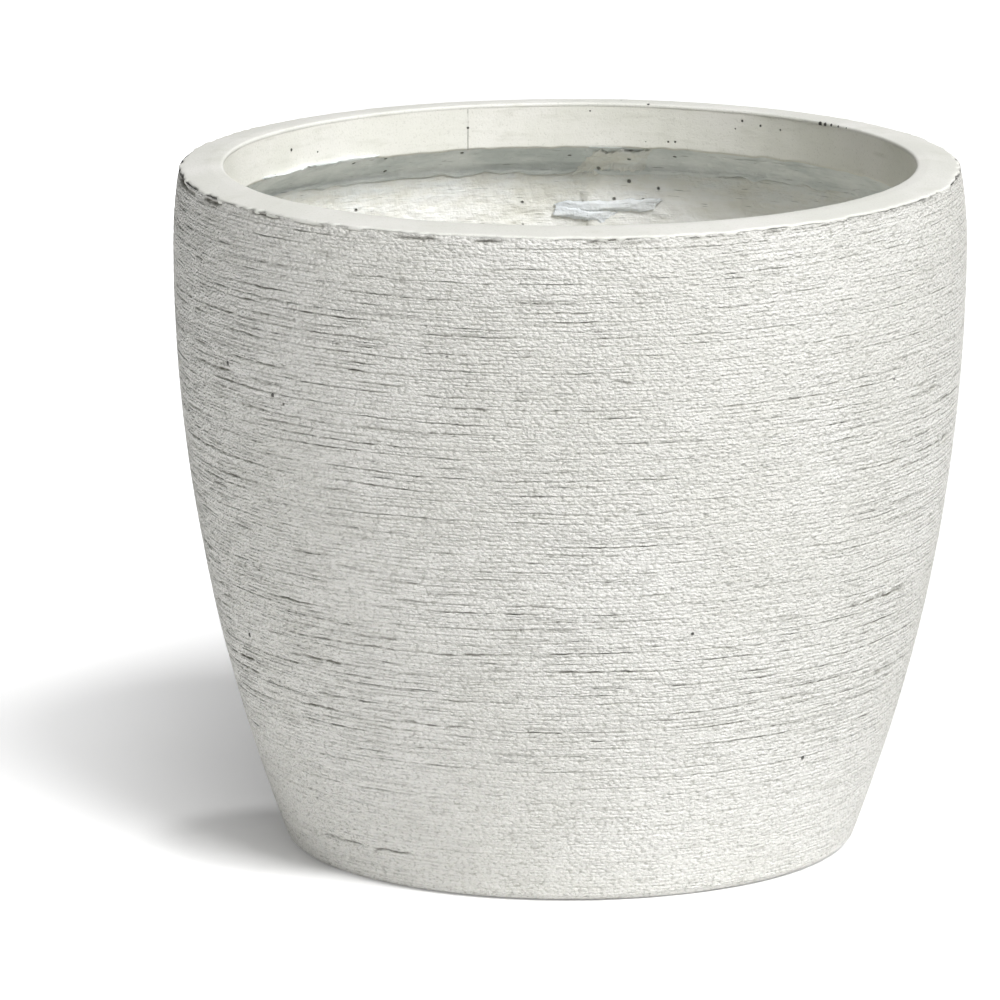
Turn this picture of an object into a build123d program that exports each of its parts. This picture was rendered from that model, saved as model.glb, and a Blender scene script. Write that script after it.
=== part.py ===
from build123d import *
import math
import os

# A round fiberclay planter that stands on its foot with its mouth up.
#
# The outside is a shell of clay mix cast in a mould. It has a thin wall and a heavy rim that
# stands inwards over it. Sheets of glass-fibre mat, soaked in the same mix, are laid by hand
# against the inside of the wall, each lapped over the next. Shorter strips of mat are pressed
# into the corner under the rim, and a disc of mat covers the floor and turns up the wall.
# A rubber plug closes the drain hole and pulls out upwards.
#
# Millimetres. The origin is the centre of the foot, +Z is up and +Y points away from the viewer.
# The wall follows two arcs that meet upright at the belly, in straight runs from one height to
# the next. Every layer inside it follows the same arcs, set in by the thickness of what lies
# outside it. The mould makes the outside round. The layers laid by hand inside are flat panels
# between upright panel lines, so that each layer lies flush on the one behind it.

# The outer form
height = 365.0
belly_diameter = 421.0
belly_below_top = 43.0
foot_set_in = 59.5
foot_edge_bevel = 4.5

# The cast shell
wall_thickness = 6.0
floor_thickness = 10.0
foot_ring_width = 22.0
underside_recess = 3.0
recess_taper = 2.0
drain_hole_diameter = 25.0
drain_hole_chamfer = 1.0

# The rim
rim_set_in = 3.4
rim_width = 23.8
rim_land_width = 7.0
rim_fall = 1.8
rim_outer_bevel = 1.0
mouth_edge_bevel = 0.8
band_height = 24.5
undercut_height = 12.0

# The layers of fibre mat
mat_thickness = 2.5
wall_mat_count = 6
panels_per_wall_mat = 8
first_seam_line = 11
lap_end_gap = 2.0
rim_strip_count = 3
rim_strip_tail = 6.5
rim_strip_cover = 3.0
rim_lap_start = 0.3
rim_lap_end = 0.9
floor_mat_turn_up = 55.0
floor_mat_cove = 12.0

# The straight runs that the wall's curve is drawn in
runs_below_belly = 6
runs_above_belly = 2
shortest_run = 0.1

# The drain plug
plug_clearance = 0.3
plug_tip_above_foot = 1.2
plug_tip_bevel = 1.0
plug_flange_overlap = 7.5
plug_flange_thickness = 4.0
plug_flange_bevel = 1.5

# Worked out from the sizes above
belly_radius = belly_diameter / 2
belly_height = height - belly_below_top
foot_radius = belly_radius - foot_set_in
rim_radius = belly_radius - rim_set_in
rim_corner_height = height - rim_fall
mouth_radius = rim_radius - rim_width
band_bottom = height - band_height
floor_top = underside_recess + floor_thickness
drain_hole_radius = drain_hole_diameter / 2

mat_outer_inset = wall_thickness
mat_inner_inset = mat_outer_inset + mat_thickness
second_layer_inset = mat_inner_inset + mat_thickness

undercut_bottom = band_bottom - undercut_height
rim_strip_bottom = undercut_bottom - rim_strip_tail
wall_mat_top = rim_strip_bottom + rim_strip_cover
floor_mat_top = floor_top + mat_thickness
turn_up_top = floor_mat_top + floor_mat_turn_up

panel_count = wall_mat_count * panels_per_wall_mat
panel_angle = 360 / panel_count


def arc_radius(run, rise):
    """Radius of an arc that starts upright, goes along by run and strays sideways by rise."""
    return (run**2 + rise**2) / (2 * rise)


def steps_between(start, end, count):
    """Heights that divide the way from start to end in equal runs, both ends included."""
    return [start + (end - start) * step / count for step in range(count + 1)]


lower_arc_radius = arc_radius(belly_height, foot_set_in)
upper_arc_radius = arc_radius(rim_corner_height - belly_height, rim_set_in)
lower_runs = steps_between(0, belly_height, runs_below_belly)
upper_runs = steps_between(belly_height, rim_corner_height, runs_above_belly)
run_ends = lower_runs + upper_runs[1:]


def arc_point_radius(z, inset):
    """Distance from the axis, at height z, of the arc that lies inset inside the outer arc."""
    arc = upper_arc_radius if z > belly_height else lower_arc_radius
    return belly_radius - arc + math.sqrt((arc - inset) ** 2 - (z - belly_height) ** 2)


def wall_radius(z, inset=0.0):
    """Distance from the axis, at height z, of the straight run between two points of that arc."""
    for low, high in zip(run_ends, run_ends[1:]):
        if z <= high:
            break
    share = (z - low) / (high - low)
    return arc_point_radius(low, inset) * (1 - share) + arc_point_radius(high, inset) * share


def wall_point(z, inset=0.0):
    """Point in the half section at height z, set in from the outer face."""
    return (wall_radius(z, inset), z)


def wall_points(z_start, z_end, inset=0.0):
    """Points of the wall's runs from one height to another, upwards or downwards."""
    low, high = sorted((z_start, z_end))
    between = [z for z in run_ends if low + shortest_run < z < high - shortest_run]
    points = [wall_point(z, inset) for z in (low, *between, high)]
    return points if z_start < z_end else points[::-1]


def undercut_direction():
    """Unit vector down and outwards along the visible slope under the rim."""
    start = Vector(mouth_radius, band_bottom)
    end = Vector(*wall_point(undercut_bottom, second_layer_inset))
    return (end - start).normalized()


def height_on_slope(point, direction, inset):
    """Height at which a sloping line through point meets the wall surface at this inset."""
    z = undercut_bottom
    for _ in range(20):
        along = (wall_radius(z, inset) - point.X) / direction.X
        z = point.Y + along * direction.Y
    return z


def shell_slope():
    """Top and bottom point of the shell's own slope, one mat thickness behind the visible one."""
    direction = undercut_direction()
    ledge = mat_thickness / abs(direction.Y)
    top = Vector(mouth_radius + ledge, band_bottom)
    bottom_height = height_on_slope(top, direction, mat_outer_inset)
    return (top.X, top.Y), wall_point(bottom_height, mat_outer_inset)


def half_section(points):
    """Closed outline in the plane of the half section, from its corners."""
    with BuildSketch(Plane.XZ) as drawing:
        with BuildLine():
            Polyline(points, close=True)
        make_face()
    return drawing.sketch


def turned(section):
    """Revolve a half section about the planter's axis."""
    return revolve(section, axis=Axis.Z)


def panel_corner(point, line):
    """Where a point of the half section lies on one of the panel lines."""
    radius, z = point
    return Vector(radius, 0, z).rotate(Axis.Z, line * panel_angle)


def flat_face(corners):
    """Flat face with these corners."""
    return Face(Wire.make_polygon(corners, close=True))


def panel_faces(points, first_line, panels):
    """Flat panels between neighbouring panel lines, one for each run of the half section."""
    faces = []
    for line in range(first_line, first_line + panels):
        for start, end in zip(points, points[1:]):
            left = [panel_corner(start, line), panel_corner(end, line)]
            right = [panel_corner(end, line + 1), panel_corner(start, line + 1)]
            faces.append(flat_face(left + right))
    return faces


def panelled_sheet(points, first_line, panels):
    """Solid that carries a closed half section along the wall in flat panels, from one line on."""
    sides = panel_faces([*points, points[0]], first_line, panels)
    end_lines = (first_line, first_line + panels)
    ends = [flat_face([panel_corner(point, line) for point in points]) for line in end_lines]
    return Solid(Shell(sides + ends))


def panelled_core(points):
    """Solid about the axis, with flat panels all round that pass through these points."""
    sides = panel_faces(points, 0, panel_count)
    lines = range(panel_count)
    caps = [flat_face([panel_corner(point, line) for line in lines]) for point in (points[0], points[-1])]
    return Solid(Shell(sides + caps))


def corner_at(sketch, radius, z):
    """Corner of a half section that is nearest to the given radius and height."""
    return sketch.vertices().sort_by_distance(Vector(radius, 0, z))[0]


def make_outer_shell():
    """Cast shell: foot ring, combed wall, heavy rim with its undercut, and the holed floor."""
    recess_radius = foot_radius - foot_ring_width
    slope_top, slope_bottom = shell_slope()
    section = half_section(
        [
            (drain_hole_radius, underside_recess),
            (recess_radius - recess_taper, underside_recess),
            (recess_radius, 0),
            (foot_radius, 0),
            *wall_points(0, rim_corner_height)[1:],
            (mouth_radius + rim_land_width, height),
            (mouth_radius, height),
            (mouth_radius, band_bottom),
            (drain_hole_radius, band_bottom),
        ]
    )
    section = chamfer(corner_at(section, foot_radius, 0), foot_edge_bevel)
    section = chamfer(corner_at(section, rim_radius, rim_corner_height), rim_outer_bevel)
    section = chamfer(corner_at(section, mouth_radius, height), mouth_edge_bevel)
    section = chamfer(corner_at(section, drain_hole_radius, underside_recess), drain_hole_chamfer)
    hollow = panelled_core([*wall_points(floor_top, slope_bottom[1], mat_outer_inset), slope_top])
    return turned(section) - hollow


def layer_section(outer_inset, inner_inset, z_low, z_high):
    """Corners of the half section of a layer between two insets and two heights."""
    return wall_points(z_low, z_high, outer_inset) + wall_points(z_high, z_low, inner_inset)


def lapped(sheet_section, lap_section, first_line, panels):
    """One sheet of mat, whose far edge steps up and laps one panel over the next sheet."""
    sheet = panelled_sheet(sheet_section, first_line, panels)
    lap = panelled_sheet(lap_section, first_line + panels - 1, 2)
    return sheet + lap


def make_wall_mat(index):
    """One sheet of wall mat, from the floor up to the strip under the rim."""
    sheet = layer_section(mat_outer_inset, mat_inner_inset, floor_top, wall_mat_top)
    lap = layer_section(
        mat_inner_inset,
        second_layer_inset,
        turn_up_top + lap_end_gap,
        rim_strip_bottom - lap_end_gap,
    )
    return lapped(sheet, lap, first_seam_line + index * panels_per_wall_mat, panels_per_wall_mat)


def rim_strip_section():
    """Corners of the half section of the strip that fills the corner under the rim."""
    slope_top, slope_bottom = shell_slope()
    return [
        (mouth_radius, band_bottom),
        slope_top,
        *wall_points(slope_bottom[1], wall_mat_top, mat_outer_inset),
        *wall_points(wall_mat_top, rim_strip_bottom, mat_inner_inset),
        *wall_points(rim_strip_bottom, undercut_bottom, second_layer_inset),
    ]


def rim_lap_section():
    """Corners of the half section of the tongue by which one rim strip laps over the next."""
    direction = undercut_direction()
    inwards = Vector(direction.Y, -direction.X)
    start = Vector(mouth_radius, band_bottom)
    slope_length = (Vector(*wall_point(undercut_bottom, second_layer_inset)) - start).length
    upper = start + direction * slope_length * rim_lap_start
    lower = start + direction * slope_length * rim_lap_end
    corners = [upper, lower, lower + inwards * mat_thickness, upper + inwards * mat_thickness]
    return [(corner.X, corner.Y) for corner in corners]


def make_rim_strip(index):
    """One strip of mat pressed into the corner under the rim."""
    panels = panel_count // rim_strip_count
    return lapped(rim_strip_section(), rim_lap_section(), first_seam_line + index * panels, panels)


def make_floor_mat():
    """Disc of mat on the floor, turned up against the wall mats, with the drain hole cut in it."""
    cove_top = floor_mat_top + floor_mat_cove
    cove_foot = (wall_radius(floor_mat_top, second_layer_inset) - floor_mat_cove, floor_mat_top)
    outside = panelled_core(wall_points(floor_top, turn_up_top, mat_inner_inset))
    inside = panelled_core([cove_foot, *wall_points(cove_top, turn_up_top, second_layer_inset)])
    hole = extrude(Plane.XY.offset(floor_top) * Circle(drain_hole_radius), mat_thickness)
    return outside - inside - hole


def make_drain_plug():
    """Rubber plug: a stem with a bevelled tip, and a flange that seats on the floor mat."""
    stem_radius = drain_hole_radius - plug_clearance
    flange_radius = drain_hole_radius + plug_flange_overlap
    flange_top = floor_mat_top + plug_flange_thickness
    section = half_section(
        [
            (0, plug_tip_above_foot),
            (stem_radius, plug_tip_above_foot),
            (stem_radius, floor_mat_top),
            (flange_radius, floor_mat_top),
            (flange_radius, flange_top),
            (0, flange_top),
        ]
    )
    section = chamfer(corner_at(section, stem_radius, plug_tip_above_foot), plug_tip_bevel)
    section = chamfer(corner_at(section, flange_radius, flange_top), plug_flange_bevel)
    return turned(section)


def make_pieces():
    """Every piece of the planter, under the name of its node."""
    pieces = {"outer_shell": make_outer_shell()}
    for index in range(wall_mat_count):
        pieces[f"wall_mat_{index + 1}"] = make_wall_mat(index)
    for index in range(rim_strip_count):
        pieces[f"rim_strip_{index + 1}"] = make_rim_strip(index)
    pieces["floor_mat"] = make_floor_mat()
    pieces["drain_plug"] = make_drain_plug()
    return pieces


os.makedirs("parts", exist_ok=True)
for name, piece in make_pieces().items():
    export_step(piece, f"parts/{name}.step")
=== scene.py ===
# %% [markdown]
# This lesson finishes a round fiberclay planter. The construction model already says where every
# piece lies and how large it is. Here each piece gets the surface of the real thing: a wall combed
# by hand, a smooth heavy rim, and a lining of fibre mat with laps and torn edges.

import math

import bmesh
import bpy
import numpy as np
from mathutils import Matrix, Vector


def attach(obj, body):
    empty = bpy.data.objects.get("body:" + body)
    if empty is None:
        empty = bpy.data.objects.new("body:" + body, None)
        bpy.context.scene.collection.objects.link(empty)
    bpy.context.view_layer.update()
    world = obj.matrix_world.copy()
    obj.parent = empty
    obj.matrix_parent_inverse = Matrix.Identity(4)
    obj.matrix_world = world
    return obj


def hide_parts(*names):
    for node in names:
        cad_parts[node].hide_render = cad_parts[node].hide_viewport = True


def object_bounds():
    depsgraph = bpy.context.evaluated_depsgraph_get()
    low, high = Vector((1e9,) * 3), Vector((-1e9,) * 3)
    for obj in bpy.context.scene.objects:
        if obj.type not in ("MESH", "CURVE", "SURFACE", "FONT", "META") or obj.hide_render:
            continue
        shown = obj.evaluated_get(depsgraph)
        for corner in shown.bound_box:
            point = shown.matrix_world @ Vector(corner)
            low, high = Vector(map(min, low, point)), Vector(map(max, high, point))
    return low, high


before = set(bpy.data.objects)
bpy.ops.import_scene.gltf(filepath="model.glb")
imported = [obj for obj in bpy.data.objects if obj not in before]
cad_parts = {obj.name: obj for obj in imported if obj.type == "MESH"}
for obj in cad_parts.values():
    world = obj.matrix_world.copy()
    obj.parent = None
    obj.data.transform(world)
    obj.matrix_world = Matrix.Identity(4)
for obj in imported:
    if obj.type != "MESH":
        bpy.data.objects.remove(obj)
cad_box = [[float(number) for number in corner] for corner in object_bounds()]
print("construction model from", cad_box[0], "to", cad_box[1])

# %% [markdown]
# All sizes are metres. The overall ones come from the construction model, so the finished planter
# can't grow out of it. The others are the same real sizes that the model was drawn with.

# %% Name the sizes
MM = 0.001
height = cad_box[1][2]
belly_radius = cad_box[1][0]
belly_height = height - 43 * MM
foot_radius = belly_radius - 59.5 * MM
rim_set_in = 3.4 * MM
rim_fall = 1.8 * MM
rim_width = 23.8 * MM
rim_land = 7 * MM
band_height = 24.5 * MM
undercut_height = 12 * MM
rim_radius = belly_radius - rim_set_in
rim_corner = height - rim_fall
mouth_radius = rim_radius - rim_width
band_bottom = height - band_height
undercut_bottom = band_bottom - undercut_height
strip_bottom = undercut_bottom - 6.5 * MM
floor_top = 13 * MM
mat_thickness = 2.5 * MM
shell_inset = 6 * MM
mat_inset = shell_inset + mat_thickness
second_inset = mat_inset + mat_thickness
lower_arc = (belly_height**2 + (belly_radius - foot_radius) ** 2) / (2 * (belly_radius - foot_radius))
upper_rise = rim_corner - belly_height
upper_arc = (upper_rise**2 + rim_set_in**2) / (2 * rim_set_in)
print("belly radius", round(belly_radius, 4), "mouth radius", round(mouth_radius, 4))

# %% [markdown]
# The wall is two arcs that meet upright at the belly, the widest place. One formula gives its
# radius at any height, for a single number or for a whole array of vertices at once. The set-in
# makes the same curve serve for every layer of the lining.


# %% Describe the wall's curve
def wall_radius(z, inset=0.0):
    """Distance of the wall from the axis at height z, set in from the outer face."""
    arc = np.where(z > belly_height, upper_arc, lower_arc)
    return belly_radius - arc + np.sqrt((arc - inset) ** 2 - (z - belly_height) ** 2)


def lining_radius(z):
    """Distance from the axis of what shows inside: band, slope under it, and fibre mat."""
    slope_foot = wall_radius(undercut_bottom, second_inset)
    share = np.clip((band_bottom - z) / undercut_height, 0, 1)
    below = wall_radius(np.minimum(z, undercut_bottom), second_inset)
    return np.where(z < undercut_bottom, below, mouth_radius + (slope_foot - mouth_radius) * share)


for z in (0, height / 2, rim_corner):
    print("radius at height", round(z, 3), "is", round(float(wall_radius(z)), 4))

# %% [markdown]
# The camera stands where the photographer's did: far away with a long lens, a little above the
# rim. The planter stands right of the middle of the picture, which a small lens shift gives
# without turning the camera. The same numbers place details by their pixel in the photo.

# %% Set up the camera
focal_pixels = 9719
axis_pixel_x = 570.0
middle_pixel_y = 498.8
camera_distance = 5.18
camera_lift = math.radians(12.17)
aim = Vector((0, 0, height / 2))
camera_data = bpy.data.cameras.new("photo_camera")
camera_data.sensor_width = 36
camera_data.lens = camera_data.sensor_width * focal_pixels / 1000
camera_data.shift_x = (500 - axis_pixel_x) / 1000
camera_data.shift_y = (middle_pixel_y - 500) / 1000
camera_data.clip_end = 200
camera = bpy.data.objects.new("photo_camera", camera_data)
camera.location = aim + camera_distance * Vector((0, -math.cos(camera_lift), math.sin(camera_lift)))
camera.rotation_euler = (aim - camera.location).to_track_quat("-Z", "Y").to_euler()
bpy.context.scene.collection.objects.link(camera)
bpy.context.scene.camera = camera
print("lens", round(camera_data.lens, 1), "mm")


def place_at(pixel_x, pixel_y, radius_at, side):
    """Azimuth and height of what shows at a pixel, on the far side (1) or the near side (-1)."""
    z = band_bottom
    depth = camera_distance
    for _ in range(30):
        x = (pixel_x - axis_pixel_x) * depth / focal_pixels
        y = side * math.sqrt(max(float(radius_at(z)) ** 2 - x**2, 0))
        depth = camera_distance + y * math.cos(camera_lift) - (z - aim.z) * math.sin(camera_lift)
        up = (middle_pixel_y - pixel_y) * depth / focal_pixels
        z += 0.5 * (aim.z + (up - y * math.sin(camera_lift)) / math.cos(camera_lift) - z)
    return math.atan2(y, x), z


def far_place(pixel_x, pixel_y):
    """Azimuth and height of the spot on the far inner side that shows at a pixel of the photo."""
    return place_at(pixel_x, pixel_y, lining_radius, 1)


print("a pixel of the band lies at", [round(number, 4) for number in far_place(570, 125)])

# %% [markdown]
# A procedural material is a small calculation on every point of a surface. Written as nodes it
# soon becomes a tangle, so one class wraps an output socket and lets Python's own operators add
# the Math nodes. Everything else goes through one method that takes a node's type, its settings
# and what its sockets get.


# %% Wrap sockets so that they can be calculated with
class Wire:
    """An output socket that Python's operators turn into Math nodes."""

    def __init__(self, maker, socket):
        self.maker = maker
        self.socket = socket

    def math(self, operation, first, second=0.0, clamp=False):
        settings = {"operation": operation, "use_clamp": clamp}
        return self.maker.node("ShaderNodeMath", settings, {0: first, 1: second})

    def __add__(self, other):
        return self.math("ADD", self, other)

    def __radd__(self, other):
        return self.math("ADD", other, self)

    def __sub__(self, other):
        return self.math("SUBTRACT", self, other)

    def __rsub__(self, other):
        return self.math("SUBTRACT", other, self)

    def __mul__(self, other):
        return self.math("MULTIPLY", self, other)

    def __rmul__(self, other):
        return self.math("MULTIPLY", other, self)

    def __abs__(self):
        return self.math("ABSOLUTE", self)

    def clamped(self):
        return self.math("ADD", self, 0.0, clamp=True)

    def larger(self, other):
        return self.math("MAXIMUM", self, other)


class Finish:
    """One material, built node by node."""

    def __init__(self, name):
        self.material = bpy.data.materials.new(name)
        self.material.use_nodes = True
        self.tree = self.material.node_tree
        self.tree.nodes.clear()
        self.place = self.node("ShaderNodeTexCoord", {}, {}, "Object")

    def node(self, kind, settings, sockets, output=0):
        """Add a node: its settings first, then a value or a link for each socket."""
        made = self.tree.nodes.new(kind)
        for name, value in settings.items():
            setattr(made, name, value)
        for name, value in sockets.items():
            if isinstance(value, Wire):
                self.tree.links.new(value.socket, made.inputs[name])
            else:
                made.inputs[name].default_value = value
        return Wire(self, made.outputs[output]) if made.outputs else None

    def stretched(self, x, y, z):
        """The piece's own coordinates, stretched along each axis."""
        sockets = {0: self.place, 1: (x, y, z)}
        return self.node("ShaderNodeVectorMath", {"operation": "MULTIPLY"}, sockets)

    def grain(self, where, scale, detail=2.0, roughness=0.5):
        """Noise from about 0.2 to 0.8 whose lumps are 1 / scale metres across."""
        sockets = {"Vector": where, "Scale": scale, "Detail": detail, "Roughness": roughness}
        return self.node("ShaderNodeTexNoise", {}, sockets)

    def cells(self, where, scale):
        """Distance to the nearest of many scattered spots: crumbs with creases between them."""
        return self.node("ShaderNodeTexVoronoi", {}, {"Vector": where, "Scale": scale}, "Distance")

    def ramp(self, value, low, high):
        """Smooth step from 0 at low to 1 at high."""
        sockets = {"Value": value, "From Min": low, "From Max": high}
        return self.node("ShaderNodeMapRange", {"interpolation_type": "SMOOTHSTEP"}, sockets)

    def mix(self, share, first, second):
        """Colour between first and second."""
        return self.node("ShaderNodeMix", {"data_type": "RGBA"}, {0: share, 6: first, 7: second}, 2)

    def pinholes(self, scale, size, share):
        """Small round holes: one in some of the cells that are 1 / scale metres across."""
        cells = {"Vector": self.place, "Scale": scale}
        distance = self.node("ShaderNodeTexVoronoi", {}, cells, "Distance")
        colour = self.node("ShaderNodeTexVoronoi", {}, cells, "Color")
        chosen = self.node("ShaderNodeSeparateColor", {}, {0: colour}, 0)
        return (1.0 - self.ramp(distance, size * 0.5, size)) * self.ramp(chosen, 1 - share, 1.001 - share)

    def spot(self, centre, radius):
        """A round spot of this radius about a point."""
        ends = {0: self.place, 1: centre}
        distance = self.node("ShaderNodeVectorMath", {"operation": "DISTANCE"}, ends, "Value")
        return 1.0 - self.ramp(distance, radius * 0.6, radius)

    def done(self, colour, roughness, relief, depth, specular=0.25):
        """Join colour, roughness and bump to the surface and give the material."""
        bump = self.node("ShaderNodeBump", {}, {"Distance": depth, "Height": relief})
        sockets = {
            "Base Color": colour,
            "Roughness": roughness,
            "Specular IOR Level": specular,
            "Normal": bump,
        }
        surface = self.node("ShaderNodeBsdfPrincipled", {}, sockets)
        self.node("ShaderNodeOutputMaterial", {}, {"Surface": surface})
        print(self.material.name, "has", len(self.tree.nodes), "nodes")
        return self.material


def paint(red, green, blue):
    """A colour as a picture editor shows it, 0 to 255, in Blender's linear scale."""
    levels = [level / 255 for level in (red, green, blue)]
    linear = [level / 12.92 if level <= 0.04045 else ((level + 0.055) / 1.055) ** 2.4 for level in levels]
    return (*linear, 1.0)


# %% [markdown]
# The combed wall is matt, warm off-white clay. The comb marks are painted darker, as painted shade
# in them, so the mesh carries how deep each vertex lies in a mark, and the colour follows it. Between
# the marks the clay is gritty: two sizes of noise, slightly drawn out along the comb's way, painted
# shade in the creases between crumbs, and a few pinholes painted near-black as shade inside them. The
# four larger pinholes lie at the pixels of the photo that are named here.

# %% Finish of the combed wall
wall_pinholes = ((227, 363), (272, 395), (249, 635), (803, 758))
pinhole_radius = 1.4 * MM
wall = Finish("combed_clay")
groove = wall.node("ShaderNodeAttribute", {"attribute_name": "groove"}, {}, "Fac")
cloud = wall.grain(wall.place, 9, 3)
grit = wall.grain(wall.stretched(0.75, 0.75, 1.2), 700, 2, 0.65)
coarse_grit = wall.grain(wall.stretched(0.8, 0.8, 1.3), 300, 2, 0.55)
crumbs = wall.cells(wall.stretched(0.7, 0.7, 1.15), 620)
streak = wall.grain(wall.stretched(1, 1, 22), 26, 3, 0.6)
holes = wall.pinholes(95, 0.1, 0.02)
for pixel_x, pixel_y in wall_pinholes:
    azimuth, z = place_at(pixel_x, pixel_y, wall_radius, -1)
    centre = (wall_radius(z) * math.cos(azimuth), wall_radius(z) * math.sin(azimuth), z)
    holes = holes.larger(wall.spot(centre, pinhole_radius))
# Painted shade: the comb marks are darkened, most in the deep lines, the groove under the rim and the low
# scratch.
groove_shade = (groove * wall.ramp(cloud + 0.35 * coarse_grit, 0.42, 0.78) * 0.75 + groove * 0.35).clamped()
light_clay = wall.mix(wall.ramp(cloud, 0.35, 0.65), paint(232, 231, 226), paint(242, 241, 237))
streaky_clay = wall.mix(wall.ramp(streak, 0.5, 0.8) * 0.35, light_clay, paint(196, 196, 184))
gritty_clay = wall.mix(wall.ramp(grit, 0.48, 0.3) * 0.5, streaky_clay, paint(172, 172, 160))
# Painted shade: the creases between the crumbs are darkened towards paint(132, 131, 119).
crease_shaded_clay = wall.mix(wall.ramp(crumbs, 0.66, 0.9) * 0.35, gritty_clay, paint(132, 131, 119))
# paint(112, 111, 100) is the painted shade in the comb marks.
marked_clay = wall.mix(groove_shade, crease_shaded_clay, paint(112, 111, 100))
# Painted shade: the pinholes are painted near-black inside, paint(48, 46, 42).
combed_clay = wall.done(
    wall.mix(holes * 0.85, marked_clay, paint(48, 46, 42)),
    0.86 + 0.1 * grit,
    grit * 1.1 + coarse_grit * 0.9 + streak * 0.5 - crumbs * 0.8 - holes * 2.2,
    1.3 * MM,
)

# %% [markdown]
# The rim and the band inside it came out of a smooth mould: nearly plain clay with faint clouds,
# fine sand and the odd air bubble. The hairline in the band is where two lengths of the mould
# met. It is drawn as the distance from an upright plane through the axis. The bubbles and chips
# are listed by their pixel in the photo and their radius in millimetres.

# %% Finish of the rim and the band
seam_pixel = (468, 128)
seam_azimuth = far_place(*seam_pixel)[0]
band_holes = ((724, 111, 1.5), (742, 121, 0.9), (735, 129, 0.6), (760, 126, 0.9), (780, 130, 0.7))
band_holes += ((668, 142, 0.8), (675, 142, 0.8), (292, 150, 1.1), (*seam_pixel, 0.9), (590, 111, 0.6))
band_holes += ((318, 152, 0.7), (735, 105, 0.5))
rim_chips = ((820, 124, 1.6), (825, 124.5, 1.3), (831, 125, 1.0), (838, 126.5, 0.8), (846, 128, 0.6))


def smooth_clay(name, first, second, spots=(), seam=False):
    """Clay straight from a smooth mould, between two colours, with holes at pixels of the photo."""
    clay = Finish(name)
    cloud = clay.grain(clay.place, 16, 4)
    sand = clay.grain(clay.place, 850, 2, 0.6)
    smear = clay.grain(clay.stretched(1, 1, 5), 45, 3)
    holes = clay.pinholes(70, 0.07, 0.1)
    for pixel_x, pixel_y, size in spots:
        azimuth, z = far_place(pixel_x, pixel_y)
        centre = (mouth_radius * math.cos(azimuth), mouth_radius * math.sin(azimuth), z)
        holes = holes.larger(clay.spot(centre, size * MM))
    if seam:
        sideways = (math.sin(seam_azimuth), -math.cos(seam_azimuth), 0)
        sockets = {0: clay.place, 1: sideways}
        offset = clay.node("ShaderNodeVectorMath", {"operation": "DOT_PRODUCT"}, sockets, "Value")
        behind = clay.node("ShaderNodeSeparateXYZ", {}, {0: clay.place}, "Y")
        dashes = clay.ramp(clay.grain(clay.place, 260, 1), 0.42, 0.55)
        hairline = (1.0 - clay.ramp(abs(offset), 0.06 * MM, 0.3 * MM)) * clay.ramp(behind, 0.0, 0.01)
        holes = holes.larger(hairline * (0.15 + 0.4 * dashes))
    plain = clay.mix(clay.ramp(cloud, 0.35, 0.68), first, second)
    smeared = clay.mix(clay.ramp(smear, 0.55, 0.75) * 0.35, plain, paint(212, 212, 200))
    sandy = clay.mix(clay.ramp(sand, 0.45, 0.25) * 0.3, smeared, paint(186, 186, 174))
    # Painted shade: the bubbles and chips are painted near-black inside; the seam hairline in the band is
    # darkened as a joint line.
    colour = clay.mix(holes * 0.9, sandy, paint(52, 50, 45))
    return clay.done(colour, 0.72 + 0.15 * sand, sand * 0.5 + smear * 0.8 - holes * 3.0, 0.3 * MM)


rim_clay = smooth_clay("rim_clay", paint(231, 231, 224), paint(241, 240, 235), rim_chips)
band_clay = smooth_clay("band_clay", paint(236, 236, 227), paint(245, 244, 238), band_holes, True)

# %% [markdown]
# The lining is glass-fibre mat pressed into wet clay. It dries streaky: smears of clay run the way
# the hand went round, fibres leave short dark dashes, and bubbles leave pits. The strips under
# the rim hold more resin, which makes them a cool grey.


# %% Finish of the fibre mat
def mat_finish(name, light, dark, lower_light, pit_share):
    """Hand-laid fibre mat between a light and a dark colour, with another light colour lower down."""
    mat = Finish(name)
    cloud = mat.grain(mat.place, 22, 4, 0.6)
    smear = mat.grain(mat.stretched(1, 1, 4), 38, 5, 0.65)
    fibres = mat.grain(mat.stretched(1, 1, 13), 90, 2, 0.5)
    lumps = mat.grain(mat.place, 170, 3, 0.55)
    pits = mat.pinholes(120, 0.16, pit_share)
    level = mat.node("ShaderNodeSeparateXYZ", {}, {0: mat.place}, "Z") + 0.05 * (smear - 0.5)
    washed = mat.mix(mat.ramp(level, 0.306, 0.331), lower_light, light)
    body = mat.mix(mat.ramp(cloud * 0.6 + smear * 0.4, 0.36, 0.62), dark, washed)
    dashed = mat.mix(mat.ramp(fibres, 0.64, 0.76) * 0.5, body, paint(104, 105, 96))
    # Painted shade: the pits are painted dark inside, paint(70, 68, 58).
    colour = mat.mix(pits * 0.8, dashed, paint(70, 68, 58))
    relief = smear * 1.4 + lumps * 1.7 + fibres * 0.3 - pits * 2.0
    return mat.done(colour, 0.62 + 0.25 * cloud, relief, 1.0 * MM, 0.35)


cream_mat = mat_finish("cream_mat", paint(240, 243, 241), paint(232, 231, 221), paint(250, 250, 247), 0.3)
grey_mat = mat_finish("grey_mat", paint(242, 245, 243), paint(212, 218, 216), paint(246, 247, 242), 0.16)
fold_clay = mat_finish("fold_clay", paint(240, 243, 244), paint(226, 231, 236), paint(240, 243, 244), 0.04)

# %% [markdown]
# The plug is black rubber: dark, a little shiny where it was pressed, dusted with clay.

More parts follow.
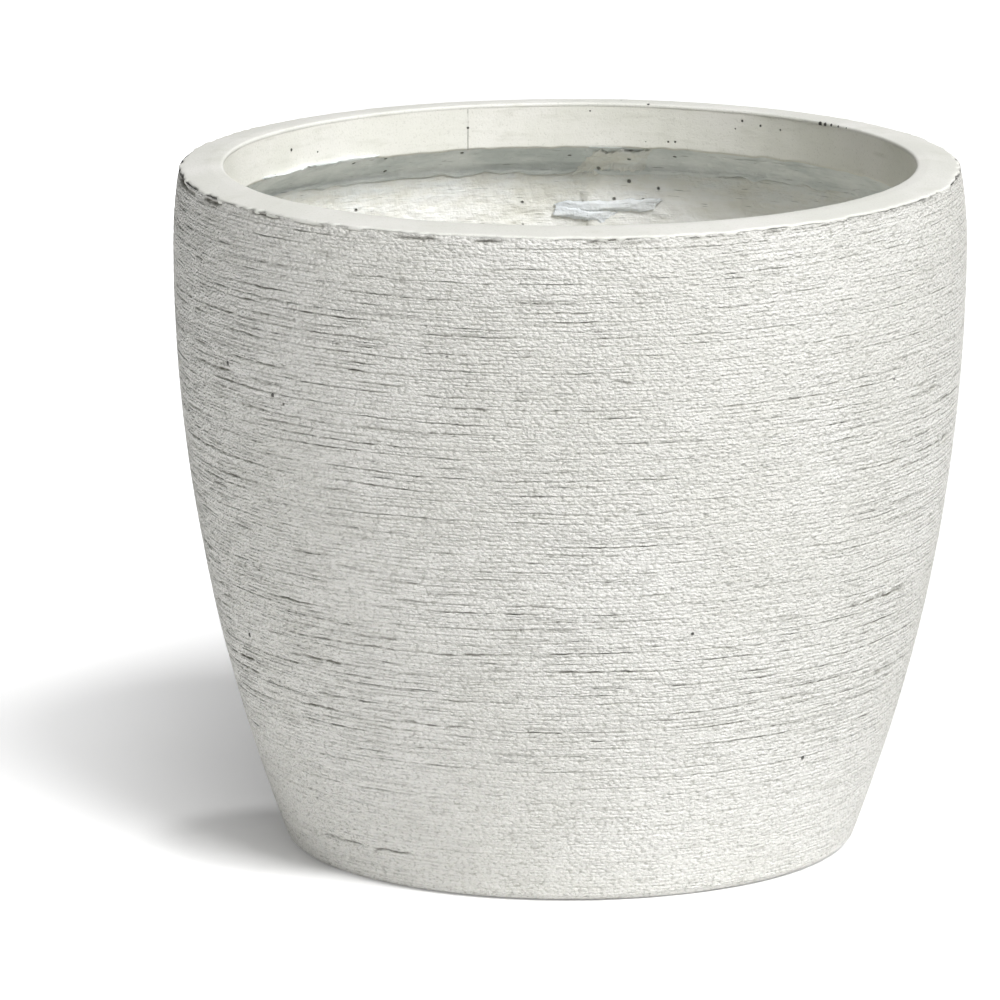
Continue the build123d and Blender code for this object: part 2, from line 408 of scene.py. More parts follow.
# %% Finish of the plug
rubber = Finish("plug_rubber")
rubber_grain = rubber.grain(rubber.place, 900, 2)
dust = rubber.ramp(rubber.grain(rubber.place, 120, 4, 0.65), 0.5, 0.75)
plug_rubber = rubber.done(
    rubber.mix(dust * 0.4, paint(38, 38, 38), paint(150, 148, 140)),
    0.45 + 0.4 * dust,
    rubber_grain * 0.6 + dust,
    0.12 * MM,
    0.4,
)

# %% [markdown]
# Every piece here is turned about one axis, so one function makes them all: it draws a closed half
# section as a loop of edges and spins it. A full turn merges its last ring with its first. A part
# of a turn gets its two ends filled. Those are flat-shaded here, so that they don't bend the
# shading of the mat beside them. The combed wall gets normals of its own later. Face normals are
# recalculated last, once nothing is double.


# %% Turn a half section
def turned(section, start=0.0, sweep=360.0, steps=360):
    """Closed mesh that a closed half section of (radius, height) points makes when it is spun."""
    shape = bmesh.new()
    corners = [shape.verts.new((radius, 0, z)) for radius, z in section]
    edges = [shape.edges.new(pair) for pair in zip(corners, corners[1:] + corners[:1])]
    turn_to_start = Matrix.Rotation(math.radians(start), 3, "Z")
    bmesh.ops.rotate(shape, verts=corners, cent=(0, 0, 0), matrix=turn_to_start)
    bmesh.ops.spin(
        shape,
        geom=corners + edges,
        cent=(0, 0, 0),
        axis=(0, 0, 1),
        dvec=(0, 0, 0),
        angle=math.radians(sweep),
        steps=steps,
        use_merge=sweep == 360.0,
        use_duplicate=False,
    )
    if sweep == 360.0:
        bmesh.ops.remove_doubles(shape, verts=shape.verts, dist=0.001 * MM)
    else:
        open_edges = [edge for edge in shape.edges if edge.is_boundary]
        bmesh.ops.holes_fill(shape, edges=open_edges, sides=0)
    bmesh.ops.recalc_face_normals(shape, faces=shape.faces)
    for face in shape.faces:
        face.smooth = len(face.verts) == 4
    return shape


def piece_from(shape, name, finish, slot, body, *nodes):
    """Make an object of a bmesh, give it its finish, and tie it to the construction model."""
    mesh = bpy.data.meshes.new(name)
    shape.to_mesh(mesh)
    shape.free()
    mesh.materials.append(finish)
    piece = bpy.data.objects.new(name, mesh)
    bpy.context.scene.collection.objects.link(piece)
    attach(piece, body)
    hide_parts(*nodes)
    return piece


# %% [markdown]
# Hand work is uneven, so vertices are moved a little after the turning. The moves come from sheets
# of random numbers that are laid once round the pot and joined end to end, so there is no step
# where they meet. Each sheet has its own seed, which makes every run the same.


# %% Lay sheets of random numbers round the pot
def eased(share):
    """Smooth step from 0 to 1."""
    share = np.clip(share, 0, 1)
    return share * share * (3 - 2 * share)


class NoiseSheet:
    """Smooth random numbers from -1 to 1, in cells counted round the pot and up it."""

    def __init__(self, around, up, seed):
        self.around = around
        self.up = up
        self.values = np.random.default_rng(seed).uniform(-1, 1, (around, up + 2))

    def on_row(self, turn, row):
        across = (turn % 1.0) * self.around
        column = np.floor(across).astype(int)
        share = eased(across - column)
        left = self.values[column % self.around, row]
        right = self.values[(column + 1) % self.around, row]
        return left * (1 - share) + right * share

    def __call__(self, turn, z):
        along = np.clip(z / height, 0, 1) * self.up
        row = np.floor(along).astype(int)
        share = eased(along - row)
        return self.on_row(turn, row) * (1 - share) + self.on_row(turn, row + 1) * share


def round_places(piece):
    """Share of a turn, distance from the axis and height of each vertex of a piece."""
    places = np.empty(len(piece.data.vertices) * 3)
    piece.data.vertices.foreach_get("co", places)
    x, y, z = places.reshape(-1, 3).T
    return (np.arctan2(y, x) / (2 * math.pi)) % 1.0, np.hypot(x, y), z


def reshape(piece, move):
    """Move a piece's vertices: move gets turn, radius and height and gives radius and height."""
    turn, radius, z = round_places(piece)
    new_radius, new_z = move(turn, radius, z)
    angle = turn * 2 * math.pi
    moved = np.column_stack([new_radius * np.cos(angle), new_radius * np.sin(angle), new_z])
    piece.data.vertices.foreach_set("co", moved.ravel())
    piece.data.update()
    print(piece.name, "has", len(piece.data.polygons), "faces")


# %% [markdown]
# The wall was combed while the clay was soft, round and round, from the rim to the foot. A comb
# leaves fine lines a couple of millimetres apart, and every few millimetres one tooth digs deeper
# and tears the clay, so the deep lines come and go. Near the foot the strokes grow faint. All of
# it is cut into the wall, never added, so the wall stays as wide as it was drawn.

# %% Work out the comb marks
fine_pitch = 2.05 * MM
deep_pitch = 4.6 * MM
fine_depth = 0.42 * MM
deep_depth = 0.9 * MM
deep_half_width = 0.34 * MM
faint_height = 25 * MM
fade_height = 95 * MM
rim_groove_drop = 2.7 * MM
rim_groove_depth = 2.0 * MM
low_scratch_depth = 0.9 * MM
low_scratch_pixel = (370, 846)
scratch_azimuth, low_scratch_z = place_at(*low_scratch_pixel, wall_radius, -1)
low_scratch_turn = (scratch_azimuth / (2 * math.pi)) % 1.0
fine_rows = int(height / fine_pitch) + 3
deep_rows = int(height / deep_pitch) + 3
slow_waver = NoiseSheet(26, 22, 11)
quick_waver = NoiseSheet(150, 70, 12)
shiver = NoiseSheet(420, 180, 22)
fine_spacing = NoiseSheet(7, fine_rows, 13)
deep_spacing = NoiseSheet(5, deep_rows, 14)
fine_strength = NoiseSheet(150, fine_rows, 15)
deep_strength = NoiseSheet(60, deep_rows, 16)
deep_tears = NoiseSheet(380, deep_rows, 17)
rim_groove = NoiseSheet(120, 2, 21)
patches = NoiseSheet(11, 7, 18)
unevenness = NoiseSheet(15, 9, 19)
roughness = NoiseSheet(570, 520, 20)


def comb_marks(turn, z):
    """How deep the comb cut at each place, and how much of a groove it is from 0 to 1."""
    waver = 0.8 * MM * slow_waver(turn, z) + 0.34 * MM * quick_waver(turn, z)
    waver += 0.2 * MM * shiver(turn, z)
    fine_place = (z + waver) / fine_pitch + 0.4 * fine_spacing(turn, z)
    fine_cut = (0.5 + 0.5 * np.cos(2 * math.pi * fine_place)) ** 2.5
    fine_force = np.clip(0.6 + 0.6 * fine_strength(turn, z), 0.1, 1)
    deep_place = np.clip((z + waver) / deep_pitch + 0.35 * deep_spacing(turn, z), 0, deep_rows)
    deep_row = np.floor(deep_place).astype(int)
    off_line = (deep_place - deep_row - 0.5) * deep_pitch
    deep_cut = np.exp(-((off_line / deep_half_width) ** 2))
    deep_force = np.clip(0.42 + 0.75 * deep_strength.on_row(turn, deep_row), 0.06, 1)
    deep_force *= np.clip(0.72 + 0.6 * deep_tears.on_row(turn, deep_row), 0.1, 1.2)
    rise = eased((z - faint_height) / fade_height)
    patchy = 0.85 + 0.3 * patches(turn, z)
    fine_mark = (0.7 + 0.3 * rise) * patchy * fine_cut * fine_force
    deep_mark = (0.3 + 0.7 * rise) * patchy * deep_cut * deep_force
    depth = fine_depth * fine_mark + deep_depth * deep_mark
    groove = 0.42 * fine_mark + 0.95 * deep_mark
    under_rim = np.exp(-(((rim_corner - rim_groove_drop - z + 1.3 * waver) / (1.0 * MM)) ** 2))
    broken = np.clip(0.4 + 0.9 * rim_groove(turn, z) + 0.35 * quick_waver(turn, z), 0, 1)
    left_front = 0.35 + 0.65 * eased(1.6 - np.abs(turn - 0.6) / 0.12)
    low_line = np.exp(-(((low_scratch_z - z + 1.6 * waver) / (0.5 * MM)) ** 2))
    low_line *= eased(1.8 - np.abs(turn - low_scratch_turn) / 0.028) * broken
    depth += rim_groove_depth * under_rim * broken * left_front + low_scratch_depth * low_line
    groove += 1.1 * under_rim * broken * left_front + 1.1 * low_line
    return depth, np.clip(groove, 0, 1)


sample_turns = np.linspace(0, 1, 5000)
sample_depth = comb_marks(sample_turns, np.full(len(sample_turns), height / 2))[0]
print("deepest mark on one level", round(float(sample_depth.max()) / MM, 2), "mm")

# %% [markdown]
# Rows 0.4 mm apart show such marks as real relief, which takes about a million faces for the whole
# wall. One mesh of that size would be clumsy, so the wall is six pieces that meet edge to edge.
# The marks depend only on where a vertex is, so they run on across the joints. Smooth shading would
# still show each joint as a line, since a mesh knows nothing of its neighbour. So the normals are
# worked out from the formula of the wall and are the same on both sides.

# %% Make the combed wall
wall_pieces = 6
wall_rows = 860
wall_steps = 96
wall_low = 3.6 * MM
wall_high = rim_corner - 1.2 * MM
skin = 3 * MM
base_inset = 0.3 * MM


def combed_face(turn, z):
    """Radius of the combed face and how much of a groove it is."""
    depth, groove = comb_marks(turn, z)
    uneven = 0.22 * MM * unevenness(turn, z) + 0.09 * MM * roughness(turn, z)
    return wall_radius(z) - base_inset - uneven - depth, groove


def placed(turn, radius, z):
    """Points in space from share of a turn, radius and height."""
    angle = turn * 2 * math.pi
    return np.column_stack([radius * np.cos(angle), radius * np.sin(angle), z])


def comb(piece):
    """Comb the outer face of a piece of wall, with the same normals on both sides of each joint."""
    turn, radius, z = round_places(piece)
    hidden = radius < wall_radius(z) - 0.5 * skin
    face_radius, groove = combed_face(turn, z)
    face = placed(turn, face_radius, z)
    turn_step = 0.5 / (wall_pieces * wall_steps)
    z_step = 0.5 * (wall_high - wall_low) / wall_rows
    along = placed(turn + turn_step, combed_face(turn + turn_step, z)[0], z) - face
    upwards = placed(turn, combed_face(turn, z + z_step)[0], z + z_step) - face
    normals = np.cross(along, upwards)
    normals[hidden] *= -1
    normals /= np.linalg.norm(normals, axis=1)[:, None]
    face[hidden] = placed(turn, radius, z)[hidden]
    mesh = piece.data
    mesh.vertices.foreach_set("co", face.ravel())
    mesh.attributes.new("groove", "FLOAT", "POINT").data.foreach_set("value", groove.astype(np.float32))
    mesh.shade_smooth()
    mesh.normals_split_custom_set_from_vertices(normals)
    mesh.update()
    print(piece.name, "has", len(mesh.polygons), "faces")


outer_line = [(float(wall_radius(z)), z) for z in np.linspace(wall_low, wall_high, wall_rows)]
inner_line = [(float(wall_radius(z, skin)), z) for z in np.linspace(wall_high, wall_low, 14)]
wall_sweep = 360 / wall_pieces
for index in range(wall_pieces):
    shape = turned(outer_line + inner_line, index * wall_sweep, wall_sweep, wall_steps)
    name = f"combed_wall_{index + 1}"
    piece = piece_from(shape, name, combed_clay, "cast_clay", "planter", "outer_shell")
    comb(piece)

# %% [markdown]
# The rim is the heaviest part: a broad smooth top that is level near the mouth and falls a little
# to the outer edge, and a straight band inside. Where the smooth top meets the combed wall, the
# clay broke away unevenly, so the outer edge gets its own raggedness. The band's lower edge is
# uneven too, because the mat was pressed against it.

# %% Make the rim and the band
rim_steps = 900
edge_breaks = NoiseSheet(300, 3, 31)
edge_runs = NoiseSheet(70, 3, 32)
rim_swell = NoiseSheet(22, 6, 33)
band_breaks = NoiseSheet(170, 3, 34)
band_runs = NoiseSheet(40, 3, 35)


def between(first, second, count):
    """Points on the straight line between two places, without the last one."""
    start = np.array(first)
    way = np.array(second) - start
    return [tuple(start + way * step / count) for step in range(count)]


def ragged_rim(turn, radius, z):
    """Break up the rim's outer edge and let the top swell and sink slightly."""
    edge = np.clip((radius - (rim_radius - 2.6 * MM)) / (2.6 * MM), 0, 1)
    breaks = np.clip(0.42 + 0.5 * edge_breaks(turn, z) + 0.35 * edge_runs(turn, z), 0.03, 1.2)
    low = z < rim_corner - 1.0 * MM
    in_by = edge * breaks * 2.2 * MM
    down_by = edge * np.where(low, -0.6 * breaks, 0.45 * breaks) * MM
    swell = 0.12 * MM * rim_swell(turn, z) - 0.14 * MM
    return radius - in_by, z - down_by + np.where(z > height - 3 * MM, swell, 0)


land_edge = (mouth_radius + rim_land, height)
rim_section = [(rim_radius - 6 * MM, rim_corner - 4 * MM), (rim_radius - 1.5 * MM, rim_corner - 3.6 * MM)]
rim_section += [(rim_radius - 0.3 * MM, rim_corner - 1.9 * MM)]
rim_section += [(rim_radius - 0.1 * MM, rim_corner - 0.8 * MM)]
rim_section += [(rim_radius - 0.5 * MM, rim_corner - 0.1 * MM)]
rim_section += between((rim_radius - 1.2 * MM, rim_corner + 0.1 * MM), land_edge, 10)
rim_section += between(land_edge, (mouth_radius + 1.3 * MM, height), 5)
rim_section += [(mouth_radius + 1.3 * MM, height), (mouth_radius + 0.5 * MM, height - 0.25 * MM)]
rim_section += [(mouth_radius + 0.1 * MM, height - 0.8 * MM), (mouth_radius + 0.1 * MM, height - 2 * MM)]
rim_section += [(mouth_radius + 4 * MM, height - 6 * MM)]
rim_shape = turned(rim_section, steps=rim_steps)
rim_piece = piece_from(rim_shape, "smooth_rim", rim_clay, "cast_clay", "planter", "outer_shell")
reshape(rim_piece, ragged_rim)


def uneven_band(turn, radius, z):
    """Let the band swell slightly and crumble along its lower edge."""
    low = np.clip((band_bottom + 3 * MM - z) / (3 * MM), 0, 1)
    crumble = 0.6 * band_breaks(turn, z) + 0.5 * band_runs(turn, z)
    swell = 0.25 * MM * rim_swell(turn, z * 2) + 0.12 * MM * band_breaks(turn, z * 3)
    return radius + np.abs(swell), z + low * (0.9 * crumble - 0.2) * MM


band_top = height - 1.2 * MM
band_section = between((mouth_radius + 0.15 * MM, band_top), (mouth_radius + 0.15 * MM, band_bottom), 26)
band_section += [(mouth_radius + 0.3 * MM, band_bottom - 0.4 * MM), (mouth_radius + 2.5 * MM, band_bottom)]
band_section += [(mouth_radius + 3 * MM, band_top)]
band_shape = turned(band_section, steps=rim_steps)
band_piece = piece_from(band_shape, "inner_band", band_clay, "cast_clay", "planter", "outer_shell")
reshape(band_piece, uneven_band)

# %% [markdown]
# The foot closes the wall underneath: a rounded edge, a level ring that the planter stands on, and
# a shallow recess with the drain hole in it. It is one more turned piece.

# %% Make the foot and the underside
foot_wear = NoiseSheet(90, 40, 41)
recess_radius = foot_radius - 22 * MM
recess_depth = 3 * MM
drain_radius = 12.5 * MM


def worn_foot(turn, radius, z):
    """Wear the rounded edge and ripple the recessed underside."""
    edge = eased((radius - (foot_radius - 6 * MM)) / (4 * MM))
    recess = (z > 0.5 * recess_depth) * (z < floor_top - 2 * MM) * (radius < recess_radius - 4 * MM)
    ripple = 0.25 * MM * foot_wear(turn, radius * 2)
    return radius - edge * (0.25 + 0.12 * foot_wear(turn, z * 9)) * MM, z + recess * np.abs(ripple)


foot_edge = []
edge_steps = 8
edge_round = 6.4 * MM
edge_middle = foot_radius - 5.2 * MM
for step in range(edge_steps + 1):
    angle = math.radians(-90 + 69 * step / edge_steps)
    point = (edge_middle + edge_round * math.cos(angle), edge_round + edge_round * math.sin(angle))
    foot_edge.append(point)
foot_section = [(drain_radius, recess_depth + 1 * MM), (drain_radius + 1 * MM, recess_depth)]
foot_section += between((drain_radius + 1 * MM, recess_depth), (recess_radius - 2 * MM, recess_depth), 30)[1:]
foot_section += [(recess_radius - 2 * MM, recess_depth), (recess_radius - 0.3 * MM, 0.3 * MM)]
foot_section += between((recess_radius + 0.2 * MM, 0), foot_edge[0], 8)
foot_section += [point for point in foot_edge if point[0] <= float(wall_radius(point[1])) - 0.2 * MM]
foot_section += [(float(wall_radius(6 * MM)) - 0.6 * MM, 6 * MM)]
foot_section += [(float(wall_radius(floor_top)) - 4 * MM, floor_top), (drain_radius, floor_top)]
foot_shape = turned(foot_section, steps=360)
foot_piece = piece_from(
    foot_shape, "foot_and_underside", combed_clay, "cast_clay", "planter", "outer_shell"
)
reshape(foot_piece, worn_foot)

# %% [markdown]
# Each sheet of fibre mat is a thin curved slab with one edge lifted over its neighbour. The lap is
# made by letting the radius step in by one thickness over the last stretch of the sweep. The
# surface is dabbed by hand, so it gets lumps of two sizes, and a ragged upper edge.

# %% Make the wall mats
mat_lumps = NoiseSheet(70, 34, 51)
mat_dabs = NoiseSheet(260, 120, 52)
mat_edges = NoiseSheet(120, 2, 53)
lap_tears = NoiseSheet(3, 26, 54)
lap_nibbles = NoiseSheet(3, 130, 55)
wall_mat_count = 6
mat_sweep = 360 / wall_mat_count
first_seam = 82.5
lap_sweep = 7.5
mat_top = strip_bottom + 3 * MM


def laid_mat(seam):
    """Move for one mat: lumps on its inner face, and its far edge lifted over the next mat."""

    def move(turn, radius, z):
        past_seam = (turn * 360 - seam + 180) % 360 - 180
        past_seam = past_seam + 3.0 * lap_tears(0.3, z) + 1.0 * lap_nibbles(0.3, z)
        end_down = 0.7 - 1.1 * eased((past_seam - 4.2) / 0.8)
        lift = mat_thickness * eased((past_seam + 5) / 6) * end_down
        inner = radius < wall_radius(z, shell_inset + 0.6 * mat_thickness)
        lumps = 0.45 * MM * mat_lumps(turn, z) + 0.25 * MM * mat_dabs(turn, z)
        edge = eased((z - (mat_top - 4 * MM)) / (4 * MM)) * mat_edges(turn, z) * 1.2 * MM
        return radius - lift + inner * (0.5 * MM + lumps), z - np.abs(edge)

    return move


mat_bottom = floor_top + 1 * MM
mat_back = shell_inset + 0.3 * MM
mat_inner = [(float(wall_radius(z, mat_inset)), z) for z in np.linspace(mat_bottom, mat_top, 110)]
mat_outer = [(float(wall_radius(z, mat_back)), z) for z in np.linspace(mat_top, mat_bottom, 14)]
for index in range(wall_mat_count):
    start = first_seam + index * mat_sweep
    shape = turned(mat_inner + mat_outer, start, mat_sweep + lap_sweep, 150)
    name = f"wall_mat_{index + 1}"
    piece = piece_from(shape, f"{name}_laid", cream_mat, "cream_mat", "planter", name)
    reshape(piece, laid_mat(start + mat_sweep))

# %% [markdown]
# Shorter strips were pressed into the corner under the rim. They bridge from the band's lower edge
# out to the wall, with ridges where a thumb ran along them.

# %% Make the rim strips
strip_lumps = NoiseSheet(60, 60, 61)
strip_ridges = NoiseSheet(16, 190, 62)
strip_edges = NoiseSheet(150, 2, 63)
strip_count = 3
strip_sweep = 360 / strip_count
slope_foot = float(wall_radius(undercut_bottom, second_inset))


def pressed_strip(seam):
    """Move for one rim strip: thumb ridges, a ragged foot, and its end lifted over the next."""

    def move(turn, radius, z):
        past_seam = ((turn * 360 - seam + 180) % 360 - 180) + 0.8 * strip_edges(turn, z)
        past_seam += 2.5 * lap_tears(0.7, z) + 1.0 * lap_nibbles(0.7, z)
        end_down = 0.7 - 1.3 * eased((past_seam - 4.5) / 0.8)
        lift = 1.6 * MM * eased((past_seam + 3) / 3) * end_down
        inner = radius < lining_radius(z) + 1.2 * MM
        ridges = 0.45 * MM * strip_ridges(turn, z) + 0.5 * MM * strip_lumps(turn, z)
        foot = eased((undercut_bottom - z) / (6 * MM)) * strip_edges(turn, z) * 1.6 * MM
        return radius - lift + inner * (0.8 * MM + ridges), z + foot * (z < undercut_bottom)

    return move


strip_section = between((mouth_radius + 0.4 * MM, band_bottom - 0.2 * MM), (slope_foot, undercut_bottom), 24)
feathered = float(wall_radius(strip_bottom, mat_inset + 0.5 * MM))
strip_section += between((slope_foot, undercut_bottom), (feathered, strip_bottom + 1 * MM), 8)
strip_section += [(feathered, strip_bottom + 1 * MM)]
strip_section += [(float(wall_radius(strip_bottom, mat_inset)), strip_bottom + 1 * MM)]
strip_section += [(slope_foot + 3.5 * MM, undercut_bottom), (mouth_radius + 5 * MM, band_bottom - 0.2 * MM)]
for index in range(strip_count):
    start = first_seam + index * strip_sweep
    shape = turned(strip_section, start, strip_sweep + lap_sweep, 320)
    name = f"rim_strip_{index + 1}"
    piece = piece_from(shape, f"{name}_pressed", grey_mat, "grey_mat", "planter", name)
    reshape(piece, pressed_strip(start + strip_sweep))

# %% [markdown]
# The floor has a disc of mat of its own, with a hollow curve up to the wall and a torn top edge.

# %% Make the floor mat
floor_lumps = NoiseSheet(48, 90, 71)
floor_edges = NoiseSheet(90, 2, 72)
turn_up_top = floor_top + mat_thickness + 55 * MM
cove = 12 * MM
floor_level = floor_top + mat_thickness
cove_middle = (float(wall_radius(floor_level + cove, second_inset)) - cove, floor_level + cove)


def laid_floor(turn, radius, z):
    """Lump the floor, and tear the upper edge of the turned-up mat."""
    across = 0.35 * MM * floor_lumps(turn, radius * 1.6) * eased((radius - 22 * MM) / (12 * MM))
    up = eased((z - floor_level - 10 * MM) / (20 * MM))
    edge = eased((z - turn_up_top + 12 * MM) / (12 * MM)) * floor_edges(turn, z) * 3 * MM
    visible = radius < wall_radius(z, mat_inset + 0.6 * mat_thickness)
    sunk = visible * (z > floor_top + 1 * MM)
    return radius + up * visible * np.abs(across), z - sunk * (1 - up) * np.abs(across) - np.abs(edge)


floor_section = between((drain_radius, floor_level), (cove_middle[0], floor_level), 44)
cove_steps = 8
for step in range(cove_steps + 1):
    angle = math.radians(-90 + 90 * step / cove_steps)
    cove_radius = cove_middle[0] + cove * math.cos(angle) * 0.94
    floor_section.append((cove_radius, cove_middle[1] + cove * math.sin(angle)))
for z in np.linspace(floor_level + cove + 2 * MM, turn_up_top, 20):
    floor_section.append((float(wall_radius(z, second_inset)), z))
for z in np.linspace(turn_up_top, floor_top + 0.2 * MM, 10):
    floor_section.append((float(wall_radius(z, mat_inset + 0.5 * MM)), z))
floor_section += [(drain_radius, floor_top + 0.2 * MM)]
floor_shape = turned(floor_section, steps=300)
floor_piece = piece_from(floor_shape, "floor_mat_laid", cream_mat, "cream_mat", "planter", "floor_mat")
reshape(floor_piece, laid_floor)

# %% [markdown]
# The plug is a moulded rubber stopper: a stem for the hole, and a flange with a raised ring and a
# dished middle to grip. A full spin closes on the axis, where the doubles are merged.

# %% Make the drain plug
stem_radius = drain_radius - 0.3 * MM
flange_radius = drain_radius + 7.5 * MM
flange_top = floor_level + 4 * MM
plug_section = [(0, 1.2 * MM), (stem_radius - 1 * MM, 1.2 * MM), (stem_radius, 2.2 * MM)]
plug_section += between((stem_radius, 2.4 * MM), (stem_radius, floor_level - 0.1 * MM), 5)
plug_section += [(stem_radius, floor_level - 0.1 * MM), (stem_radius + 0.3 * MM, floor_level)]
plug_section += [(flange_radius - 0.6 * MM, floor_level), (flange_radius, floor_level + 0.5 * MM)]
plug_section += [(flange_radius, flange_top - 2.1 * MM), (flange_radius - 0.7 * MM, flange_top - 1.3 * MM)]
plug_section += [(flange_radius - 3 * MM, flange_top - 0.8 * MM)]
plug_section += [(flange_radius - 4 * MM, flange_top - 0.1 * MM)]
plug_section += [(flange_radius - 5.6 * MM, flange_top - 0.1 * MM)]
plug_section += [(flange_radius - 6.6 * MM, flange_top - 1 * MM)]
plug_section += [(6 * MM, flange_top - 1.5 * MM), (0, flange_top - 1.6 * MM)]
plug_shape = turned(plug_section, steps=96)
piece_from(plug_shape, "rubber_plug", plug_rubber, "black_rubber", "plug", "drain_plug")
print("plug stands", round((flange_top - floor_level) / MM, 1), "mm above the floor mat")

# %% [markdown]
# Loose ends of mat show on the far side: a torn tab that stands off the slope, a flap at the left
# and folds lower down. Each is a grid that is bent onto the lining at the place where the photo
# shows it, with torn edges, and then given a thickness. Its edges dive into the mat below, so no
# gap shows under them.


# %% Lay torn tabs and folds on the lining
def torn_patch(name, corners, lift, crisp, finish, slot, node, seed):
    """Torn mat between four pixels of the photo, lift mm high. Crisp edges (1) stand off."""
    columns = 72
    rows = 14
    dive = 1.5
    patch_thickness = 0.9 * MM
    tears = 14
    chance = np.random.default_rng(seed)
    coarse = chance.uniform(-1, 1, (4, tears))
    fine = chance.uniform(-1, 1, (4, columns + 1))
    places = np.array([far_place(*corner) for corner in corners])

    def torn(side, share):
        """How far an edge is torn at this share of its length, from -1 to 1."""
        large_tear = np.interp(share * (tears - 1), np.arange(tears), coarse[side])
        return 0.7 * large_tear + 0.3 * fine[side][int(share * columns)]

    shape = bmesh.new()
    bmesh.ops.create_grid(shape, x_segments=columns, y_segments=rows, size=0.5)
    for vertex in shape.verts:
        along = min(max(vertex.co.x + 0.5, 0), 1)
        down = min(max(0.5 - vertex.co.y, 0), 1)
        new_along = along + 0.03 * (torn(0, down) * (1 - along) + torn(1, down) * along)
        new_down = down + 0.16 * (torn(2, along) * (1 - down) + torn(3, along) * down)
        above = places[0] + (places[1] - places[0]) * new_along
        below = places[2] + (places[3] - places[2]) * new_along
        azimuth, z = above + (below - above) * new_down
        top = (4 + 30 * crisp) * down
        ends = (3 + 5 * crisp) * min(along, 1 - along)
        flat = float(eased(min(1, ends, 3 * (1 - down), top)))
        crease = 0.35 * torn(2, along) * math.sin(5 * down + 9 * along)
        rise = (lift + crease + dive) * flat - dive + crisp * 1.2 * (1 - down) ** 3 * flat
        radius = float(lining_radius(z)) - rise * MM
        vertex.co = (radius * math.cos(azimuth), radius * math.sin(azimuth), z)
    raised = bmesh.ops.extrude_face_region(shape, geom=shape.faces[:])["geom"]
    for vertex in (part for part in raised if isinstance(part, bmesh.types.BMVert)):
        vertex.co += Vector((vertex.co.x, vertex.co.y, 0)).normalized() * patch_thickness
    bmesh.ops.recalc_face_normals(shape, faces=shape.faces)
    print(name, "has", sum(edge.is_boundary for edge in shape.edges), "open edges")
    for face in shape.faces:
        face.smooth = True
    piece_from(shape, name, finish, slot, "planter", node)
    print(name, "spans", round(abs(places[0][0] - places[1][0]) * mouth_radius / MM), "mm")


grey = (grey_mat, "grey_mat", "rim_strip_1")
pale = (fold_clay, "cream_mat", "wall_mat_1")
tab = (cream_mat, "cream_mat", "wall_mat_1")
torn_patch("torn_tab", ((591, 149), (654, 150), (572, 176), (640, 174)), 0.9, 1, *tab, 101)
torn_patch("left_flap", ((256, 180), (385, 153), (262, 188), (388, 162)), 0.8, 1, *grey, 102)
torn_patch("right_smear", ((700, 155), (850, 174), (700, 165), (850, 184)), 0.2, 0, *grey, 105)
torn_patch("pale_fold", ((556, 203), (662, 199), (560, 215), (652, 211)), 0.1, 0, *pale, 106)
torn_patch("fold_tail", ((556, 206), (616, 213), (554, 216), (608, 225)), 0.1, 0, *pale, 107)

# %% [markdown]
# The studio is a white floor that goes on past the picture, soft light from all round, and one
# broad lamp from the front right. The floor looks white to the camera because of its colour and a
# little glow that only the camera sees, so no extra light falls on the planter and the shadow
# stays. The glow is weaker beside the foot, which paints the contact shadow darker there, and grows
# to the left, which paints the cast shadow lighter until it fades out.

# %% Light the studio
ambient = 0.06
world = bpy.data.worlds.new("studio_world")
bpy.context.scene.world = world
world.use_nodes = True
world_nodes = world.node_tree.nodes
world_links = world.node_tree.links
world_nodes.clear()
ray = world_nodes.new("ShaderNodeLightPath")
seen = world_nodes.new("ShaderNodeMath")
seen.operation = "ADD"
seen.use_clamp = True
seen_directly = world_nodes.new("ShaderNodeMath")
seen_directly.operation = "MAXIMUM"
world_links.new(ray.outputs["Is Camera Ray"], seen_directly.inputs[0])
world_links.new(ray.outputs["Is Glossy Ray"], seen_directly.inputs[1])
world_links.new(seen_directly.outputs[0], seen.inputs[0])
world_links.new(ray.outputs["Is Transmission Ray"], seen.inputs[1])
level = world_nodes.new("ShaderNodeMapRange")
level.inputs["To Min"].default_value = ambient
level.inputs["To Max"].default_value = 1.0
world_links.new(seen.outputs[0], level.inputs["Value"])
sky = world_nodes.new("ShaderNodeBackground")
world_links.new(level.outputs[0], sky.inputs["Strength"])
sky_output = world_nodes.new("ShaderNodeOutputWorld")
world_links.new(sky.outputs[0], sky_output.inputs[0])


def add_sun(name, right_of_camera, elevation, strength, softness, colour=(1, 1, 1)):
    """A sun lamp by its direction, in degrees right of the camera and above the floor."""
    lamp = bpy.data.lights.new(name, "SUN")
    lamp.energy = strength
    lamp.angle = math.radians(softness)
    lamp.color = colour
    turn = math.radians(right_of_camera)
    lift = math.radians(elevation)
    towards = Vector((math.cos(lift) * math.sin(turn), -math.cos(lift) * math.cos(turn), math.sin(lift)))
    holder = bpy.data.objects.new(name, lamp)
    holder.rotation_euler = towards.to_track_quat("Z", "Y").to_euler()
    bpy.context.scene.collection.objects.link(holder)
    print(name, "shines from", [round(number, 2) for number in towards])


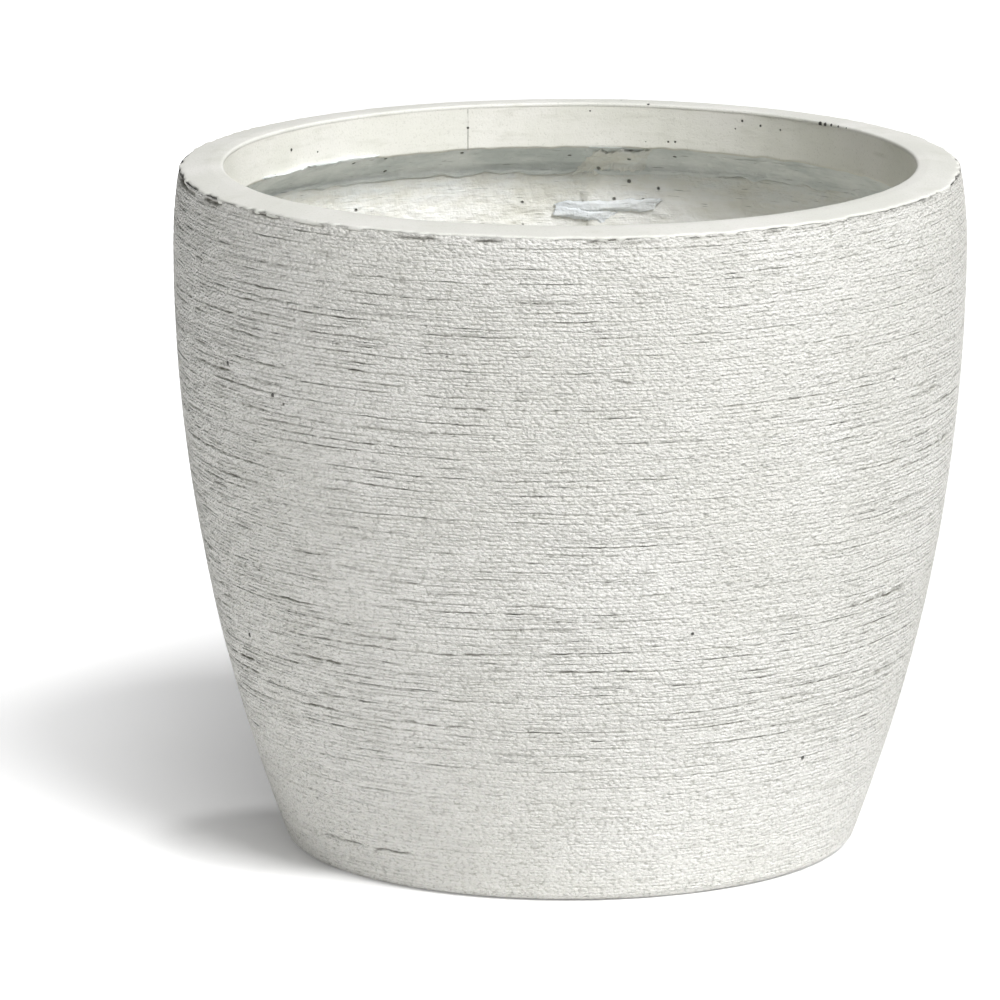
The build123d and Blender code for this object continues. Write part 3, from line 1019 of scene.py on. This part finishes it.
add_sun("key_lamp", 37, 48, 3.1, 27)
add_sun("right_lamp", 68, 30, 0.5, 50)
add_sun("front_lamp", -8, 38, 0.35, 50)
add_sun("left_fill", -60, 12, 0.04, 60, (1.0, 0.98, 0.7))

low_lamp = bpy.data.lights.new("low_lamp", "AREA")
low_lamp_aim = Vector((-0.14, -0.06, 0.08))
low_lamp.energy = 0.33
low_lamp.size = 0.2
low_holder = bpy.data.objects.new("low_lamp", low_lamp)
low_holder.location = (-0.46, -0.28, 0.05)
low_way = low_lamp_aim - low_holder.location
low_holder.rotation_euler = low_way.to_track_quat("-Z", "Y").to_euler()
bpy.context.scene.collection.objects.link(low_holder)

studio_floor = Finish("studio_floor")
floor_ray = studio_floor.node("ShaderNodeLightPath", {}, {}, "Is Camera Ray")
matt = studio_floor.node("ShaderNodeBsdfDiffuse", {}, {"Color": (0.93, 0.93, 0.93, 1)})
# Painted shadow: in this spot beside the foot the glow is cut, which darkens the contact shadow.
contact_shadow_spot = studio_floor.spot((-0.15, -0.02, 0), 0.09)
sideways = studio_floor.node("ShaderNodeSeparateXYZ", {}, {0: studio_floor.place}, "X")
# Painted light: towards the left the glow grows, which lightens the cast shadow until it fades out.
fade = studio_floor.ramp(sideways, -0.13, -0.33)
glow_level = floor_ray * (0.25 + 0.4 * fade - 0.15 * contact_shadow_spot)
glow = studio_floor.node("ShaderNodeEmission", {}, {"Strength": glow_level})
floor_surface = studio_floor.node("ShaderNodeAddShader", {}, {0: matt, 1: glow})
studio_floor.node("ShaderNodeOutputMaterial", {}, {"Surface": floor_surface})
ground = bmesh.new()
bmesh.ops.create_grid(ground, x_segments=1, y_segments=1, size=40)
bmesh.ops.translate(ground, verts=ground.verts, vec=(0, 0, -0.1 * MM))
floor_mesh = bpy.data.meshes.new("studio_floor")
ground.to_mesh(floor_mesh)
ground.free()
floor_mesh.materials.append(studio_floor.material)
floor_object = bpy.data.objects.new("studio_floor", floor_mesh)
bpy.context.scene.collection.objects.link(floor_object)

# %% [markdown]
# Last, the look is set to plain values, so that a colour renders about as it is written.

# %% Set the view
bpy.context.scene.view_settings.view_transform = "Standard"
